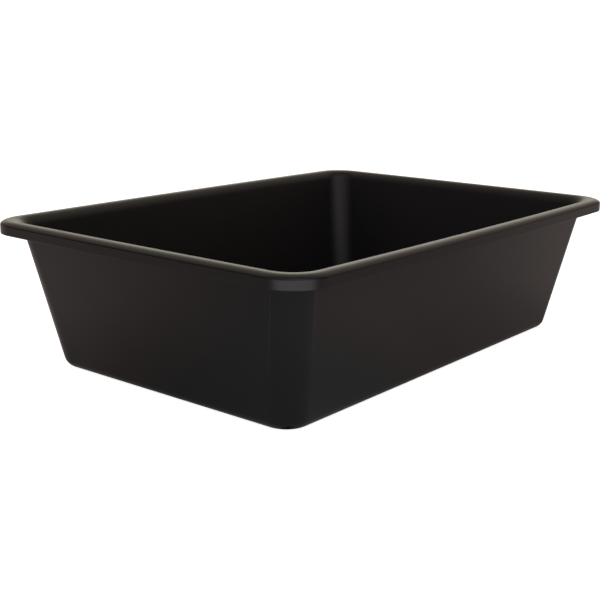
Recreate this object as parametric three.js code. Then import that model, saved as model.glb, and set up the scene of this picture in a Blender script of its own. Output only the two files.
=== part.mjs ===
// Open rectangular utility tray, one plastic moulding.
// Millimetres, +Z up. Origin: middle of the footprint, on the plane it rests on.
// +X runs along the length, +Y across the width.
import * as THREE from 'three';

// ---- overall size ---------------------------------------------------------
const LENGTH = 416;          // over the rim, at the middle of the ends
const WIDTH = 297;           // over the rim, at the middle of the long sides
const HEIGHT = 110;          // base to the top of the rim
const SIDE_BOW = 2.7;        // how far each long side swells outward at the rim
const END_BOW = 1.0;         // the same for each short side

// ---- walls ----------------------------------------------------------------
const DRAFT = 0.184;         // flare of all four walls, run per unit of rise (10.4 degrees)
const WALL = 2.4;            // wall thickness, square to the wall
const FLOOR = 2.6;           // floor thickness
const FOOT_R = 8.0;          // outer radius between walls and base
const FOOT_R_IN = 5.6;       // inner radius between walls and floor
const WALL_CORNER_R = 18.5;  // outer radius of the upright corners, constant over the height

// ---- rolled rim -----------------------------------------------------------
const OVERHANG = 12.3;       // rim outer face to the wall's outer plane, at the top
const RIM_CORNER_R = 26.0;   // plan radius of the rim's outer face at the corners
const RIM_T = 2.0;           // rim thickness
const SKIRT = 9.1;           // height of the turned-down lip
const CREST_RUN = 6.2;       // the roll's outer edge is a quarter of an ellipse: this far in
const CREST_DROP = 3.0;      // and this far down
const SHOULDER_R = 8.6;      // inner radius of the roll, into the tray
const UNDER_R = 6.2;         // fillet where the rim leaves the wall, underneath

// ---- resolution -----------------------------------------------------------
const CORNER_STEPS = 7;      // facets round each plan corner
const LONG_STEPS = 6;        // facets along each bowed long side
const SHORT_STEPS = 4;       // facets along each bowed short side

const ALPHA = Math.atan(DRAFT);
const COS = Math.cos(ALPHA), SIN = Math.sin(ALPHA);
const CORNER_SHIFT = WALL_CORNER_R + OVERHANG - RIM_CORNER_R;
const HALF_L = LENGTH / 2 - END_BOW;
const HALF_W = WIDTH / 2 - SIDE_BOW;

// Inset of the wall faces from the rim's outer face, at height z.
const outerWall = (z) => OVERHANG + DRAFT * (HEIGHT - z);
const innerWall = (z) => outerWall(z) + WALL / COS;

// ---- section through a wall -----------------------------------------------
// x is the inset from the rim's outer face, y is the height. The section runs
// from the underside, up the outside, round the rim and down to the floor.
function section() {
  const points = [];
  const line = (...pairs) => points.push(...pairs.map(([x, y]) => new THREE.Vector2(x, y)));
  const arc = (x, y, r, a0, a1, steps, ry = r) => {
    const curve = new THREE.EllipseCurve(x, y, r, ry, a0, a1, a1 < a0, 0);
    points.push(...curve.getPoints(steps));
  };

  // base edge, outside
  const footZ = FOOT_R * (1 - SIN);
  arc(outerWall(footZ) + FOOT_R * COS, FOOT_R, FOOT_R, 1.5 * Math.PI, Math.PI + ALPHA, 5);
  // fillet under the rim
  const underZ = HEIGHT - RIM_T - UNDER_R;
  const underWall = underZ + UNDER_R * SIN;
  arc(outerWall(underWall) - UNDER_R * COS, underZ, UNDER_R, ALPHA, Math.PI / 2, 4);
  // inside of the roll and of the lip
  arc(CREST_RUN, HEIGHT - CREST_DROP, CREST_RUN - RIM_T, Math.PI / 2, Math.PI, 4, CREST_DROP - RIM_T);
  line([RIM_T, HEIGHT - SKIRT], [0, HEIGHT - SKIRT]);
  // outside of the lip, over the crest
  arc(CREST_RUN, HEIGHT - CREST_DROP, CREST_RUN, Math.PI, Math.PI / 2, 6, CREST_DROP);
  const shoulderTop = OVERHANG + DRAFT * SHOULDER_R * (1 - SIN) + WALL / COS - SHOULDER_R * COS;
  arc(shoulderTop, HEIGHT - SHOULDER_R, SHOULDER_R, Math.PI / 2, ALPHA, 5);
  // floor edge, inside
  const floorZ = FLOOR + FOOT_R_IN * (1 - SIN);
  arc(innerWall(floorZ) + FOOT_R_IN * COS, FLOOR + FOOT_R_IN, FOOT_R_IN,
    Math.PI + ALPHA, 1.5 * Math.PI, 4);
  return points;
}

// Plan corner radius at a point of the section: round the rim the corners are
// concentric, and the walls keep one radius from top to bottom.
function cornerRadius(inset, z) {
  const t = THREE.MathUtils.smoothstep(inset, CREST_RUN, OVERHANG);
  return RIM_CORNER_R - inset + t * (CORNER_SHIFT + DRAFT * (HEIGHT - z));
}

// One closed ring of the tray at an inset and height, counter-clockwise from above.
function ring(inset, z) {
  const a = HALF_L - inset, b = HALF_W - inset, r = cornerRadius(inset, z);
  const plan = [];
  const corners = [[a - r, b - r, 0], [r - a, b - r, 1], [r - a, r - b, 2], [a - r, r - b, 3]];
  corners.forEach(([cx, cy, quarter], k) => {
    for (let i = 0; i <= CORNER_STEPS; i++) {
      const t = (quarter + i / CORNER_STEPS) * Math.PI / 2;
      plan.push([cx + r * Math.cos(t), cy + r * Math.sin(t)]);
    }
    const [x0, y0] = plan[plan.length - 1];
    const [nx, ny, q] = corners[(k + 1) % 4];
    const x1 = nx + r * Math.cos(q * Math.PI / 2), y1 = ny + r * Math.sin(q * Math.PI / 2);
    const steps = k % 2 === 0 ? LONG_STEPS : SHORT_STEPS;
    for (let i = 1; i < steps; i++) {
      plan.push([x0 + (x1 - x0) * i / steps, y0 + (y1 - y0) * i / steps]);
    }
  });
  const rise = Math.min(1, z / (HEIGHT - SKIRT));
  return plan.map(([x, y]) => [
    x + END_BOW * rise * (x / a) * (1 - (y / b) ** 2),
    y + SIDE_BOW * rise * (y / b) * (1 - (x / a) ** 2),
    z,
  ]);
}

// Closed skin: the rings in turn, with a flat fan over the base and the floor.
function trayGeometry() {
  const rings = section().map((p) => ring(p.x, p.y));
  const n = rings[0].length;
  const position = rings.flat(2);
  const index = [];
  for (let i = 0; i + 1 < rings.length; i++) {
    for (let j = 0; j < n; j++) {
      const k = (j + 1) % n;
      const a = i * n + j, b = (i + 1) * n + j, c = (i + 1) * n + k, d = i * n + k;
      index.push(a, c, b, a, d, c);
    }
  }
  const base = position.length / 3;
  position.push(0, 0, rings[0][0][2]);
  const floor = base + 1;
  position.push(0, 0, rings[rings.length - 1][0][2]);
  const last = (rings.length - 1) * n;
  for (let j = 0; j < n; j++) {
    const k = (j + 1) % n;
    index.push(base, k, j, floor, last + j, last + k);
  }
  const geometry = new THREE.BufferGeometry();
  geometry.setAttribute('position', new THREE.Float32BufferAttribute(position, 3));
  geometry.setIndex(index);
  geometry.computeVertexNormals();
  return geometry;
}

const blackPlastic = new THREE.MeshStandardMaterial({ color: 0x2b2826, roughness: 0.5, metalness: 0 });

const tray = new THREE.Mesh(trayGeometry(), blackPlastic);
tray.name = 'tray_body';

const group = new THREE.Group();
group.add(tray);

export default group;
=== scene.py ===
import math

import bmesh
import bpy
from mathutils import Matrix, Vector


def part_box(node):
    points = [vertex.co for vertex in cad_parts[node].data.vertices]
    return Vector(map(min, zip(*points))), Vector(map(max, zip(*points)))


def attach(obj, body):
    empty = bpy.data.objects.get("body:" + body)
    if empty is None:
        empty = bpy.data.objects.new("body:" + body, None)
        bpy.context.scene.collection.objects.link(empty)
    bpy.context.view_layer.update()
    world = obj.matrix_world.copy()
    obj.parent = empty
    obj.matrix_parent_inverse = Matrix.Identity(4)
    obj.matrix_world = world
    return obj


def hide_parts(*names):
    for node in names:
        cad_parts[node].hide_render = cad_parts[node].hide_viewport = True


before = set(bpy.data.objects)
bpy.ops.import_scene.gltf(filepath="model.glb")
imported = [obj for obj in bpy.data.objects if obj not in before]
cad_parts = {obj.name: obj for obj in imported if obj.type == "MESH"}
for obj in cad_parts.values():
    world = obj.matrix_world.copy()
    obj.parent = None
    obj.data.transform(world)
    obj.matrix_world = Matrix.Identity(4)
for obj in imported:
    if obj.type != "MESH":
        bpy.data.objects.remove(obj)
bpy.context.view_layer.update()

NODE = "tray_body"
node_lo, node_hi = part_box(NODE)

# ---------------------------------------------------------------------------
# The tray's moulding, at full resolution. Millimetres here, metres in the mesh.
# ---------------------------------------------------------------------------
MM = 0.001
LENGTH = (node_hi[0] - node_lo[0]) / MM
WIDTH = (node_hi[1] - node_lo[1]) / MM
HEIGHT = node_hi[2] / MM
SIDE_BOW, END_BOW = 2.7, 1.0
DRAFT, WALL, FLOOR = 0.184, 2.4, 2.6
FOOT_R, FOOT_R_IN, WALL_CORNER_R = 8.0, 5.6, 18.5
OVERHANG, RIM_CORNER_R, RIM_T, SKIRT = 12.3, 26.0, 2.0, 9.1
CREST_RUN, CREST_DROP, SHOULDER_R, UNDER_R = 6.2, 3.0, 8.6, 6.2
LIP_R = 0.50                     # the lip's lower edges, rounded as moulded

ALPHA = math.atan(DRAFT)
COS, SIN = math.cos(ALPHA), math.sin(ALPHA)
CORNER_SHIFT = WALL_CORNER_R + OVERHANG - RIM_CORNER_R
HALF_L = LENGTH / 2 - END_BOW
HALF_W = WIDTH / 2 - SIDE_BOW
CORNER_STEPS, LONG_STEPS, SHORT_STEPS = 20, 56, 40
SEAM = 0.45                      # half-width of the witness lines where the tool's corner inserts end
SEAM_RISE = 0.03                 # and how far they stand proud


def outer_wall(z):
    return OVERHANG + DRAFT * (HEIGHT - z)


def inner_wall(z):
    return outer_wall(z) + WALL / COS


def section():
    """(inset from the rim's outer face, height) round the wall, from the underside to the floor."""
    pts = []

    def arc(x, y, r, a0, a1, steps, ry=None):
        for i in range(steps + 1):
            a = a0 + (a1 - a0) * i / steps
            pts.append((x + r * math.cos(a), y + (ry or r) * math.sin(a)))

    def line(x1, y1, steps):
        x0, y0 = pts[-1]
        for i in range(1, steps):
            pts.append((x0 + (x1 - x0) * i / steps, y0 + (y1 - y0) * i / steps))

    pi = math.pi
    # underside, from near the middle out to the base edge
    foot_z = FOOT_R * (1 - SIN)
    foot_x = outer_wall(foot_z) + FOOT_R * COS
    for k in (60.0, 36.0, 20.0, 10.0, 4.0):
        pts.append((foot_x + k, 0.0))
    arc(foot_x, FOOT_R, FOOT_R, 1.5 * pi, pi + ALPHA, 12)
    # outside of the wall
    under_z = HEIGHT - RIM_T - UNDER_R
    wall_z = under_z + UNDER_R * SIN
    outer = [len(pts)]
    line(outer_wall(wall_z), wall_z, 22)
    outer.append(len(pts))
    arc(outer_wall(wall_z) - UNDER_R * COS, under_z, UNDER_R, ALPHA, pi / 2, 10)
    # inside of the roll and of the lip
    line(CREST_RUN, HEIGHT - RIM_T, 3)
    arc(CREST_RUN, HEIGHT - CREST_DROP, CREST_RUN - RIM_T, pi / 2, pi, 10, CREST_DROP - RIM_T)
    bottom = HEIGHT - SKIRT
    line(RIM_T, bottom + LIP_R, 4)
    arc(RIM_T - LIP_R, bottom + LIP_R, LIP_R, 0, -pi / 2, 4)
    arc(LIP_R, bottom + LIP_R, LIP_R, 1.5 * pi, pi, 4)
    line(0, HEIGHT - CREST_DROP, 5)
    # outside of the roll, crest and shoulder
    arc(CREST_RUN, HEIGHT - CREST_DROP, CREST_RUN, pi, pi / 2, 24, CREST_DROP)
    top_x = OVERHANG + DRAFT * SHOULDER_R * (1 - SIN) + WALL / COS - SHOULDER_R * COS
    line(top_x, HEIGHT, 3)
    shoulder = len(pts)
    arc(top_x, HEIGHT - SHOULDER_R, SHOULDER_R, pi / 2, ALPHA, 14)
    # inside of the wall, and the floor's edge
    floor_z = FLOOR + FOOT_R_IN * (1 - SIN)
    line(inner_wall(floor_z), floor_z, 22)
    floor_x = inner_wall(floor_z) + FOOT_R_IN * COS
    arc(floor_x, FLOOR + FOOT_R_IN, FOOT_R_IN, pi + ALPHA, 1.5 * pi, 9)
    for k in (4.0, 10.0, 20.0, 36.0, 60.0):
        pts.append((floor_x + k, FLOOR))
    # share of the inner finish: none outside and on the crest, all of it below the shoulder
    share = [0.0] * len(pts)
    for i in range(shoulder, len(pts)):
        t = min(1.0, (i - shoulder) / 14)
        share[i] = t * t * (3 - 2 * t)
    return pts, share, outer


def corner_radius(inset, z):
    t = min(1.0, max(0.0, (inset - CREST_RUN) / (OVERHANG - CREST_RUN)))
    t = t * t * (3 - 2 * t)
    return max(0.5, RIM_CORNER_R - inset + t * (CORNER_SHIFT + DRAFT * (HEIGHT - z)))


def ring(inset, z, seam=0.0):
    """One ring of points, and which of them lie on a witness line."""
    a, b, r = HALF_L - inset, HALF_W - inset, corner_radius(inset, z)
    corners = [(a - r, b - r), (r - a, b - r), (r - a, r - b), (a - r, r - b)]
    plan, marks = [], []
    w = min(SEAM, 0.4 * r)
    quarter = math.pi / 2
    for k, (cx, cy) in enumerate(corners):
        edge = w / r / quarter
        turns = [0.0, edge] + [edge + (1 - 2 * edge) * i / CORNER_STEPS for i in range(1, CORNER_STEPS)] + [1 - edge, 1.0]
        for i, f in enumerate(turns):
            t = (k + f) * quarter
            on_seam = i in (0, len(turns) - 1)
            out = r + (seam * SEAM_RISE if on_seam else 0.0)
            plan.append((cx + out * math.cos(t), cy + out * math.sin(t)))
            marks.append(seam if on_seam else 0.0)
        t = (k + 1) * quarter
        x0, y0 = cx + r * math.cos(t), cy + r * math.sin(t)
        nx, ny = corners[(k + 1) % 4]
        x1, y1 = nx + r * math.cos(t), ny + r * math.sin(t)
        length = math.hypot(x1 - x0, y1 - y0)
        steps = LONG_STEPS if k % 2 == 0 else SHORT_STEPS
        side = [w / length] + [i / steps for i in range(1, steps)] + [1 - w / length]
        for f in side:
            plan.append((x0 + (x1 - x0) * f, y0 + (y1 - y0) * f))
            marks.append(0.0)
    rise = min(1.0, z / (HEIGHT - SKIRT))
    points = [
        (
            (x + END_BOW * rise * (x / a) * (1 - (y / b) ** 2)) * MM,
            (y + SIDE_BOW * rise * (y / b) * (1 - (x / a) ** 2)) * MM,
            z * MM,
        )
        for x, y in plan
    ]
    return points, marks


def tray_mesh():
    outline, shares, outer = section()
    bm = bmesh.new()
    inside = bm.verts.layers.float.new("inside")
    # this layer marks the witness lines, where the base colour is lifted as a painted highlight
    witness_highlight = bm.verts.layers.float.new("witness_highlight")
    rows = []
    for i, ((x, z), share) in enumerate(zip(outline, shares)):
        # the lines run up the outside of the walls, and fade out towards the foot and the rim
        seam = 0.0
        if outer[0] <= i < outer[1]:
            seam = min(1.0, max(0.0, (z - 18) / 45)) * min(1.0, max(0.0, (HEIGHT - 9 - z) / 4))
        points, marks = ring(x, z, seam)
        row = [bm.verts.new(p) for p in points]
        for v, mark in zip(row, marks):
            v[inside] = share
            v[witness_highlight] = mark
        rows.append(row)
    n = len(rows[0])
    for lower, upper in zip(rows, rows[1:]):
        for j in range(n):
            k = (j + 1) % n
            bm.faces.new((lower[j], lower[k], upper[k], upper[j]))
    bm.faces.new(list(reversed(rows[0])))
    bm.faces.new(rows[-1])
    bmesh.ops.triangulate(bm, faces=[f for f in bm.faces if len(f.verts) > 4])
    bmesh.ops.remove_doubles(bm, verts=bm.verts, dist=1e-7)
    bmesh.ops.recalc_face_normals(bm, faces=bm.faces)
    for f in bm.faces:
        f.smooth = True
    mesh = bpy.data.meshes.new("tray_moulding")
    bm.to_mesh(mesh)
    bm.free()
    return mesh


# ---------------------------------------------------------------------------
# Node helpers
# ---------------------------------------------------------------------------
class Nodes:
    def __init__(self, tree):
        self.tree = tree
        tree.nodes.clear()

    def add(self, kind, **props):
        node = self.tree.nodes.new(kind)
        for k, v in props.items():
            setattr(node, k, v)
        return node

    def link(self, a, b):
        self.tree.links.new(a, b)

    def put(self, socket, value):
        if isinstance(value, bpy.types.NodeSocket):
            self.link(value, socket)
        elif value is not None:
            socket.default_value = value

    def math(self, op, a, b=None, c=None, clamp=False):
        m = self.add("ShaderNodeMath", operation=op, use_clamp=clamp)
        for s, v in zip(m.inputs, (a, b, c)):
            self.put(s, v)
        return m.outputs[0]

    def step(self, value, lo, hi, out_lo=0.0, out_hi=1.0, kind="SMOOTHSTEP"):
        m = self.add("ShaderNodeMapRange", interpolation_type=kind, clamp=True)
        for s, v in zip(m.inputs, (value, lo, hi, out_lo, out_hi)):
            self.put(s, v)
        return m.outputs[0]

    def noise(self, vector, scale, detail=2.0, rough=0.5, distortion=0.0):
        t = self.add("ShaderNodeTexNoise")
        self.put(t.inputs["Vector"], vector)
        t.inputs["Scale"].default_value = scale
        t.inputs["Detail"].default_value = detail
        t.inputs["Roughness"].default_value = rough
        t.inputs["Distortion"].default_value = distortion
        return t.outputs["Fac"]

    def scaled(self, vector, xyz):
        m = self.add("ShaderNodeMapping")
        self.put(m.inputs["Vector"], vector)
        m.inputs["Scale"].default_value = xyz
        return m.outputs[0]

    def mix(self, fac, a, b):
        m = self.add("ShaderNodeMix", data_type="RGBA")
        self.put(m.inputs[0], fac)
        self.put(m.inputs[6], a)
        self.put(m.inputs[7], b)
        return m.outputs[2]

    def ramp(self, fac, stops):
        r = self.add("ShaderNodeValToRGB")
        e = r.color_ramp.elements
        while len(e) > 1:
            e.remove(e[-1])
        for i, (pos, v) in enumerate(stops):
            el = e[0] if i == 0 else e.new(pos)
            el.position = pos
            el.color = (v, v, v, 1) if not isinstance(v, tuple) else v
        self.put(r.inputs[0], fac)
        return r.outputs[0]


# ---------------------------------------------------------------------------
# Near-black moulded polypropylene
# ---------------------------------------------------------------------------
def plastic():
    mat = bpy.data.materials.new("black_polypropylene")
    mat.use_nodes = True
    n = Nodes(mat.node_tree)
    coord = n.add("ShaderNodeTexCoord").outputs["Object"]
    xyz = n.add("ShaderNodeSeparateXYZ")
    n.link(coord, xyz.inputs[0])
    z = xyz.outputs["Z"]

    # where hands, stacked trays and the bench rub: the crest and lip of the rim, and the base edge
    rim = n.step(z, HEIGHT * MM - 0.0035, HEIGHT * MM - 0.0002)
    lip = n.step(z, (HEIGHT - SKIRT) * MM + 0.0016, (HEIGHT - SKIRT) * MM + 0.0002)
    lip = n.math("MULTIPLY", lip, n.step(z, (HEIGHT - SKIRT) * MM - 0.0006, (HEIGHT - SKIRT) * MM - 0.0001))
    foot = n.step(z, 0.0042, 0.0004)
    edges = n.math("MAXIMUM", n.math("MAXIMUM", rim, lip), foot, clamp=True)
    patchy = n.step(n.noise(coord, 85.0, 5.0, 0.65), 0.48, 0.72)
    worn = n.math("MULTIPLY", edges, patchy, clamp=True)

    # hairline rubs that run along the walls
    long_noise = n.noise(n.scaled(coord, (60.0, 60.0, 900.0)), 1.0, 3.0, 0.65)
    rubs = n.math("MULTIPLY", n.step(long_noise, 0.66, 0.74), n.step(n.noise(coord, 14.0, 2.0), 0.5, 0.66))

    # colour: carbon-black masterbatch with a slight brown cast, cloudy at two scales
    cloud = n.noise(coord, 9.0, 3.0, 0.55)
    fine = n.noise(coord, 420.0, 2.0, 0.5)
    base = n.mix(n.step(cloud, 0.3, 0.7), (0.0098, 0.0091, 0.0084, 1), (0.0122, 0.0112, 0.0102, 1))
    base = n.mix(n.math("MULTIPLY", fine, 0.25), base, (0.0150, 0.0140, 0.0130, 1))
    base = n.mix(n.math("MULTIPLY", worn, 0.30), base, (0.034, 0.032, 0.030, 1))
    base = n.mix(n.math("MULTIPLY", rubs, 0.14), base, (0.040, 0.038, 0.036, 1))
    # painted highlight: the base colour is lifted along the raised witness lines, standing in for the thin light
    # reflection they catch
    witness_highlight = n.add("ShaderNodeAttribute", attribute_name="witness_highlight").outputs["Fac"]
    base = n.mix(n.math("MULTIPLY", n.step(witness_highlight, 0.1, 1.0), 0.5), base, (0.060, 0.058, 0.052, 1))

    # finish: satin outside, duller inside where the core of the tool is coarser
    inside = n.add("ShaderNodeAttribute", attribute_name="inside").outputs["Fac"]
    rough = n.step(n.noise(coord, 22.0, 4.0, 0.6), 0.25, 0.75, 0.185, 0.225, "LINEAR")
    rough = n.math("ADD", rough, n.math("MULTIPLY", inside, 0.20))
    rough = n.math("ADD", rough, n.math("MULTIPLY", worn, 0.05))
    rough = n.math("ADD", rough, n.math("MULTIPLY", rubs, 0.07))
    rough = n.math("ADD", rough, n.math("MULTIPLY", n.math("SUBTRACT", fine, 0.5), 0.05))

    # relief: a shallow spark-eroded grain, and the slow waviness of a cooled wall
    pebble = n.add("ShaderNodeTexVoronoi", feature="SMOOTH_F1", distance="EUCLIDEAN")
    n.put(pebble.inputs["Vector"], coord)
    pebble.inputs["Scale"].default_value = 1300.0
    pebble.inputs["Smoothness"].default_value = 0.6
    micro = n.noise(coord, 2600.0, 2.0, 0.55)
    wave = n.noise(coord, 16.0, 1.0, 0.4)
    grain = n.math("ADD", n.math("MULTIPLY", pebble.outputs["Distance"], 0.6), n.math("MULTIPLY", micro, 0.5))
    b1 = n.add("ShaderNodeBump")
    b1.inputs["Strength"].default_value = 0.35
    b1.inputs["Distance"].default_value = 0.00006
    n.link(grain, b1.inputs["Height"])
    b2 = n.add("ShaderNodeBump")
    b2.inputs["Strength"].default_value = 0.5
    b2.inputs["Distance"].default_value = 0.0004
    n.link(wave, b2.inputs["Height"])
    n.link(b1.outputs[0], b2.inputs["Normal"])

    shader = n.add("ShaderNodeBsdfPrincipled")
    n.put(shader.inputs["Base Color"], base)
    n.put(shader.inputs["Roughness"], rough)
    shader.inputs["Metallic"].default_value = 0.0
    shader.inputs["IOR"].default_value = 1.49
    n.link(b2.outputs[0], shader.inputs["Normal"])
    out = n.add("ShaderNodeOutputMaterial")
    n.link(shader.outputs[0], out.inputs["Surface"])
    return mat


# ---------------------------------------------------------------------------
# The piece
# ---------------------------------------------------------------------------
tray = bpy.data.objects.new("tray_shell", tray_mesh())
bpy.context.scene.collection.objects.link(tray)
black = plastic()
tray.data.materials.append(black)
weighted = tray.modifiers.new("normals", "WEIGHTED_NORMAL")
weighted.keep_sharp = False
weighted.weight = 50

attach(tray, "root")
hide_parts(NODE)

cad_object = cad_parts[NODE]
if hasattr(cad_object, "material_slots"):
    for s in cad_object.material_slots:
        s.material = black

# ---------------------------------------------------------------------------
# Camera
# ---------------------------------------------------------------------------
AZ, EL, ROLL = math.radians(-50.843), math.radians(14.101), math.radians(0.608)
DIST = 0.77139
TARGET = Vector((-0.071158, -0.036172, 0.055))
back = Vector((math.sin(AZ) * math.cos(EL), -math.cos(AZ) * math.cos(EL), math.sin(EL)))
right = (-back).cross(Vector((0, 0, 1))).normalized()
up = right.cross(-back)
r2 = right * math.cos(ROLL) + up * math.sin(ROLL)
u2 = -right * math.sin(ROLL) + up * math.cos(ROLL)
cam_data = bpy.data.cameras.new("camera")
cam_data.sensor_fit = "HORIZONTAL"
cam_data.sensor_width = 36.0
cam_data.lens = 1067.58 / 600 * 36.0
cam_data.clip_start, cam_data.clip_end = 0.01, 100.0
cam_data.dof.use_dof = False
cam = bpy.data.objects.new("camera", cam_data)
m = Matrix((r2, u2, back)).transposed().to_4x4()
m.translation = TARGET + back * DIST
cam.matrix_world = m
bpy.context.scene.collection.objects.link(cam)
bpy.context.scene.camera = cam

# ---------------------------------------------------------------------------
# Studio: a pale floor and soft light
# ---------------------------------------------------------------------------
# Levels by angle, in degrees: turn is measured from the camera's side of the tray, positive to the
# right, and rise is the height above the horizon.
# NEAR_TONE, FAN_TONE, LOW_TONE and the NEAR, FAN and CORNER tints set the floor's painted light and painted shade seen
# in reflections; the rest set the studio's lamps.
NEAR_TONE = [(-180, 0.35), (-110, 0.43), (-90, 0.39), (-68, 0.292), (-55, 0.22), (-37, 0.205), (-25, 0.23), (0, 0.25), (22, 0.25), (37, 0.228), (51, 0.24), (68, 0.215), (90, 0.205), (104, 0.245), (120, 0.33), (180, 0.35)]
FAN_TONE = [(-180, 0.0), (-66, 0.0), (-57, 0.11), (-49, 0.58), (-40, 0.88), (0, 0.96), (42, 0.88), (53, 0.60), (62, 0.12), (71, 0.0), (180, 0.0)]
FRONT_TURN = [(-180, 0.0), (-88, 0.0), (-62, 0.15), (-40, 0.25), (-20, 0.43), (0, 0.66), (18, 0.80), (38, 0.76), (58, 0.30), (72, 0.06), (85, 0.0), (180, 0.0)]
FRONT_RISE = [(-90, 1.0), (0, 1.0), (9, 1.0), (22, 0.76), (45, 0.61), (60, 0.35), (75, 0.16), (90, 0.05)]
SWEEP_TURN = [(0, 0.0), (145, 0.0), (162, 0.46), (180, 0.70)]
SWEEP_RISE = [(-90, 1.0), (15, 1.0), (24, 0.25), (36, 0.06), (50, 0.02), (62, 0.0), (90, 0.0)]
WASH_TURN = [(0, 0.0), (90, 0.0), (112, 0.19), (140, 0.20), (180, 0.20)]
WASH_RISE = [(-90, 1.0), (24, 1.0), (45, 0.90), (60, 0.40), (75, 0.05), (90, 0.0)]
ROOM_RISE = [(-90, 0.0), (0, 0.0), (14, 0.012), (30, 0.11), (50, 0.20), (62, 0.22), (75, 0.24), (90, 0.22)]
CORNER_TINT = (0.98, 1.00, 1.02)
LOW_TONE = [(-180, 1.0), (-75, 1.0), (-45, 0.94), (-22, 0.92), (-9, 1.18), (2, 1.16), (12, 0.92), (21, 0.88), (62, 0.86), (88, 1.0), (180, 1.0)]
NEAR_TINT, FAN_TINT = (1.15, 0.985, 0.93), (1.03, 0.97, 1.05)
WASH_TINT = (1.20, 0.97, 0.80)
FRONT_TINT, SWEEP_TINT, ROOM_TINT = (1.03, 0.96, 1.04), (1.03, 1.03, 0.88), (1.08, 0.99, 0.90)

floor_mesh = bpy.data.meshes.new("floor")
S = 30.0
floor_mesh.from_pydata([(-S, -S, 0), (S, -S, 0), (S, S, 0), (-S, S, 0)], [], [(0, 1, 2, 3)])
floor = bpy.data.objects.new("floor", floor_mesh)
floor.location.z = -0.0002
bpy.context.scene.collection.objects.link(floor)
front_h = Vector((back.x, back.y, 0)).normalized()
right_h = Vector((right.x, right.y, 0)).normalized()


def dot(n, a, v):
    d = n.add("ShaderNodeVectorMath", operation="DOT_PRODUCT")
    n.put(d.inputs[0], a)
    d.inputs[1].default_value = v
    return d.outputs["Value"]


def degrees(n, x, y):
    return n.math("MULTIPLY", n.math("ARCTAN2", x, y), 180 / math.pi)


def profile(n, value, lo, hi, stops, top=1.0):
    """A soft profile through (value, level) stops; levels may go past 1 with top."""
    fac = n.math("DIVIDE", n.math("SUBTRACT", value, lo), hi - lo)
    level = n.ramp(fac, [((a - lo) / (hi - lo), v / top) for a, v in stops])
    return n.math("MULTIPLY", level, top) if top != 1.0 else level


def tinted(n, kind, level, colour):
    s = n.add(kind)
    s.inputs["Color"].default_value = (*colour, 1)
    n.put(s.inputs["Strength"], level)
    return s.outputs[0]


def add(n, a, b):
    s = n.add("ShaderNodeAddShader")
    n.link(a, s.inputs[0])
    n.link(b, s.inputs[1])
    return s.outputs[0]


def switch(n, seen, unseen):
    """seen for camera rays, unseen for every other ray"""
    s = n.add("ShaderNodeMixShader")
    n.link(n.add("ShaderNodeLightPath").outputs["Is Camera Ray"], s.inputs[0])
    n.link(unseen, s.inputs[1])
    n.link(seen, s.inputs[2])
    return s.outputs[0]


# The floor reads as white paper to the camera. To every other ray it glows with painted light, the tone of a lit
# sweep:
# bright well out in front of the near corner, and dim close to the tray and to its sides as painted shade, with a
# painted contact shadow at the base edge.
floor_mat = bpy.data.materials.new("floor_paper")
floor_mat.use_nodes = True
n = Nodes(floor_mat.node_tree)
ground = n.add("ShaderNodeTexCoord").outputs["Object"]
gx, gy = dot(n, ground, right_h), dot(n, ground, front_h)
around = degrees(n, gx, gy)
split = n.add("ShaderNodeSeparateXYZ")
n.link(ground, split.inputs[0])
CONTACT = outer_wall(0) + FOOT_R * 0.85        # inset of the line where the base leaves the floor
gap_x = n.math("MAXIMUM", n.math("SUBTRACT", n.math("ABSOLUTE", split.outputs["X"]), (HALF_L - CONTACT) * MM), 0.0)
gap_y = n.math("MAXIMUM", n.math("SUBTRACT", n.math("ABSOLUTE", split.outputs["Y"]), (HALF_W - CONTACT) * MM), 0.0)
gap = n.math("SQRT", n.math("ADD", n.math("MULTIPLY", gap_x, gap_x), n.math("MULTIPLY", gap_y, gap_y)))
# painted shade: the floor's glow is dimmer close to the tray
near = n.math("MULTIPLY", profile(n, around, -180, 180, NEAR_TONE), n.step(gap, 0.0, 0.11, 0.73, 1.0))
# painted contact shadow: the glow falls to nothing right at the base edge
near = n.math("MULTIPLY", near, n.step(gap, 0.0005, 0.0055, 0.0, 1.0))
beside = n.step(gap, 0.0, 0.11, 1.0, 0.0)
low = n.math("SUBTRACT", profile(n, around, -180, 180, LOW_TONE, 1.2), 1.0)
near = n.math("MULTIPLY", near, n.math("ADD", 1.0, n.math("MULTIPLY", low, beside)))
far_left = n.math("MULTIPLY", n.step(gap, 0.15, 0.40), n.step(around, -75.0, -45.0, 0.22, 0.0))
near = n.math("MULTIPLY", near, n.math("SUBTRACT", 1.0, far_left))
sides = n.step(n.math("ABSOLUTE", n.math("ADD", around, 6.0)), 24.0, 48.0)
gy2 = n.math("SUBTRACT", gy, 0.24)
fan = degrees(n, gx, gy2)
reach = n.math("SQRT", n.math("ADD", n.math("MULTIPLY", gx, gx), n.math("MULTIPLY", gy2, gy2)))
far = n.math("MULTIPLY", profile(n, fan, -180, 180, FAN_TONE, 1.2), n.step(reach, 0.10, 0.36))
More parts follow.
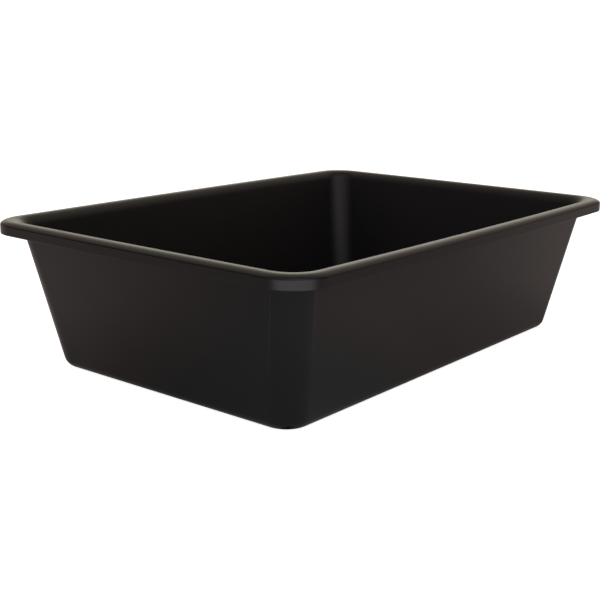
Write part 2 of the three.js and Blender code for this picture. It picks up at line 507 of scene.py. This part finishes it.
painted_floor_glow = add(
    n,
    add(
        n,
        tinted(n, "ShaderNodeEmission", n.math("MULTIPLY", near, sides), NEAR_TINT),
        tinted(n, "ShaderNodeEmission", n.math("MULTIPLY", near, n.math("SUBTRACT", 1.0, sides)), CORNER_TINT),
    ),
    tinted(n, "ShaderNodeEmission", far, FAN_TINT),
)
paper = n.add("ShaderNodeBsdfDiffuse")
paper.inputs["Color"].default_value = (1.5, 1.5, 1.5, 1)
white = add(n, tinted(n, "ShaderNodeEmission", 0.88, (1, 1, 1)), paper.outputs[0])
out = n.add("ShaderNodeOutputMaterial")
n.link(switch(n, white, painted_floor_glow), out.inputs["Surface"])
floor_mesh.materials.append(floor_mat)

# Studio: a wide soft source in front, a bright sweep low behind, and a dim room round them.
world = bpy.data.worlds.new("studio")
bpy.context.scene.world = world
world.use_nodes = True
n = Nodes(world.node_tree)
direction = n.add("ShaderNodeTexCoord").outputs["Generated"]
psi = degrees(n, dot(n, direction, right_h), dot(n, direction, front_h))
elev = n.math("MULTIPLY", n.math("ARCSINE", dot(n, direction, (0, 0, 1))), 180 / math.pi)
side = n.math("ABSOLUTE", psi)
front = n.math("MULTIPLY", profile(n, psi, -180, 180, FRONT_TURN), profile(n, elev, -90, 90, FRONT_RISE))
sweep = n.math("MULTIPLY", profile(n, side, 0, 180, SWEEP_TURN, 1.5), profile(n, elev, -90, 90, SWEEP_RISE))
wash = n.math("MULTIPLY", profile(n, side, 0, 180, WASH_TURN), profile(n, elev, -90, 90, WASH_RISE))
room = profile(n, elev, -90, 90, ROOM_RISE)
studio = add(
    n,
    add(n, tinted(n, "ShaderNodeBackground", front, FRONT_TINT), tinted(n, "ShaderNodeBackground", sweep, SWEEP_TINT)),
    add(n, tinted(n, "ShaderNodeBackground", wash, WASH_TINT), tinted(n, "ShaderNodeBackground", room, ROOM_TINT)),
)
clear = tinted(n, "ShaderNodeBackground", 1.0, (1.0, 1.0, 1.0))
out = n.add("ShaderNodeOutputWorld")
n.link(switch(n, clear, studio), out.inputs["Surface"])

scene = bpy.context.scene
scene.view_settings.view_transform = "Standard"
scene.view_settings.look = "None"
scene.view_settings.exposure = 0.0
scene.view_settings.gamma = 1.0
